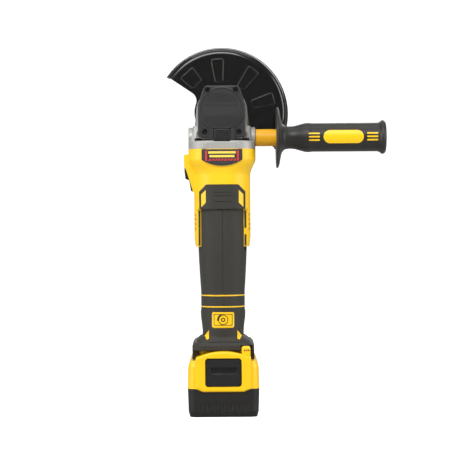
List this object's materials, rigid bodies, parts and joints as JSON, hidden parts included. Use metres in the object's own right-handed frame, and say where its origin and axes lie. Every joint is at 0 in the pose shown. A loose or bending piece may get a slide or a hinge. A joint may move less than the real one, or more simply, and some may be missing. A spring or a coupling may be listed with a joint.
{
  "type": "angle grinder",
  "caption": "Cordless angle grinder with a slide switch, a turning disc guard, a side handle and a slide-on battery pack.",
  "frame": {"origin": "on the spindle's axis at the backing flange's seat for the disc", "axes": "+Y out of the spindle, +Z from the battery up to the gear head, +X towards the side handle"},
  "size_m": [0.2369, 0.121, 0.3994],
  "materials": {
    "gear_steel": "ground",
    "bright_steel": "turned",
    "cast_aluminium": "cast",
    "guard_steel": "gloss",
    "lid_black": "satin",
    "zinc_steel": "zinc plated",
    "black_screw": "blackened",
    "yellow_plastic": "fine texture",
    "black_plastic": "fine texture",
    "grip_rubber": "matte",
    "charcoal_plastic": "satin",
    "lamination": "stacked sheets",
    "magnet": "nickel plated",
    "copper": "enamelled",
    "seal_rubber": "matte",
    "cell_wrap": "shrink sleeve",
    "nickel": "plated",
    "board": "solder mask",
    "module_potting": "potted",
    "lead_sleeve": "cable sleeve",
    "badge": "printed film"
  },
  "bodies": {
    "housing": {"gear_case": "cast_aluminium", "gear_cover": "lid_black", "bearing_box": "cast_aluminium", "case_screws": "black_screw", "bearing_retainers": "zinc_steel", "spindle_seal": "seal_rubber", "spindle_bearings": "bright_steel", "motor_bearings": "bright_steel", "motor_housing": "yellow_plastic", "fan_baffle": "black_plastic", "stator_core": "lamination", "stator_coils": "copper", "rear_bearing_mount": "black_plastic", "grip_panels": "grip_rubber", "badge": "badge", "handle_left": "grip_rubber", "handle_right": "grip_rubber", "handle_screws": "black_screw", "accent_bands": "yellow_plastic", "icon_plate": "yellow_plastic", "micro_switch": "black_plastic", "control_module": "module_potting", "tool_terminals": "black_plastic", "leads": "lead_sleeve", "lever_pin": "bright_steel"},
    "spindle": {"spindle": "bright_steel", "crown_gear": "gear_steel", "crown_gear_rings": "zinc_steel", "backing_flange": "zinc_steel", "clamp_nut": "zinc_steel"},
    "rotor": {"rotor_shaft": "bright_steel", "pinion": "gear_steel", "lock_ring": "gear_steel", "cooling_fan": "black_plastic", "rotor_core": "lamination", "rotor_magnets": "magnet"},
    "spindle_lock": {"spindle_lock_button": "charcoal_plastic", "spindle_lock_pin": "bright_steel", "spindle_lock_spring": "zinc_steel"},
    "switch_slide": {"switch_slider": "charcoal_plastic", "switch_rod": "black_plastic"},
    "guard": {"guard": "guard_steel"},
    "guard_lever": {"guard_lever": "zinc_steel"},
    "handle_stud": {"side_handle_stud": "bright_steel"},
    "side_handle": {"side_handle_grip": "grip_rubber", "side_handle_core": "charcoal_plastic", "side_handle_collar": "yellow_plastic", "side_handle_inlays": "yellow_plastic", "side_handle_damper": "seal_rubber"},
    "battery": {"battery_base": "black_plastic", "battery_cover": "yellow_plastic", "cells": "cell_wrap", "cell_frames": "charcoal_plastic", "cell_straps": "nickel", "battery_board": "board", "battery_screws": "black_screw"},
    "battery_latch": {"battery_latch": "black_plastic", "latch_spring": "zinc_steel"},
    "gauge_button": {"gauge_button": "charcoal_plastic"}
  },
  "joints": [
    {"name": "spindle_spin", "type": "hinge", "parent": "housing", "child": "spindle", "pos_m": [0, 0, 0], "axis": [0, 1, 0], "continuous": true},
    {"name": "rotor_spin", "type": "hinge", "parent": "housing", "child": "rotor", "pos_m": [0, -0.05, -0.08], "axis": [0, 0, 1], "continuous": true},
    {"name": "spindle_lock_press", "type": "slide", "parent": "housing", "child": "spindle_lock", "axis": [0, 1, 0], "range_m": [0, 0.004], "stiffness_N_per_m": 900, "springref_m": -0.002, "deforming": ["spindle_lock_spring"]},
    {"name": "switch_slide_travel", "type": "slide", "parent": "housing", "child": "switch_slide", "axis": [0, 0, 1], "range_m": [0, 0.008], "stiffness_N_per_m": 250, "springref_m": -0.003},
    {"name": "guard_turn", "type": "hinge", "parent": "housing", "child": "guard", "pos_m": [0, -0.0127, 0], "axis": [0, 1, 0], "continuous": true},
    {"name": "guard_lever_release", "type": "hinge", "parent": "housing", "child": "guard_lever", "pos_m": [-0.025, -0.0175, -0.0215], "axis": [0, -1, 0], "range_deg": [0, 12], "stiffness_Nm_per_rad": 0.12, "springref_deg": -17.19},
    {"name": "side_handle_advance", "type": "slide", "parent": "housing", "child": "handle_stud", "axis": [1, 0, 0], "range_m": [0, 0.0135]},
    {"name": "side_handle_turn", "type": "hinge", "parent": "handle_stud", "child": "side_handle", "pos_m": [0.06, -0.05, -0.0296], "axis": [1, 0, 0], "range_deg": [0, 3245]},
    {"name": "battery_slide", "type": "slide", "parent": "housing", "child": "battery", "axis": [0, -1, 0], "range_m": [0, 0.09]},
    {"name": "battery_latch_press", "type": "slide", "parent": "battery", "child": "battery_latch", "axis": [0, 1, 0], "range_m": [0, 0.004], "stiffness_N_per_m": 700, "springref_m": -0.002, "deforming": ["latch_spring"]},
    {"name": "gauge_button_press", "type": "slide", "parent": "battery", "child": "gauge_button", "axis": [0, 0, -1], "range_m": [0, 0.0012], "stiffness_N_per_m": 500, "springref_m": -0.0008}
  ],
  "couplings": [
    {"joint": "rotor_spin", "follows": "spindle_spin", "ratio": 3.3333},
    {"joint": "side_handle_turn", "follows": "side_handle_advance", "rad_per_m": 4188.8}
  ]
}
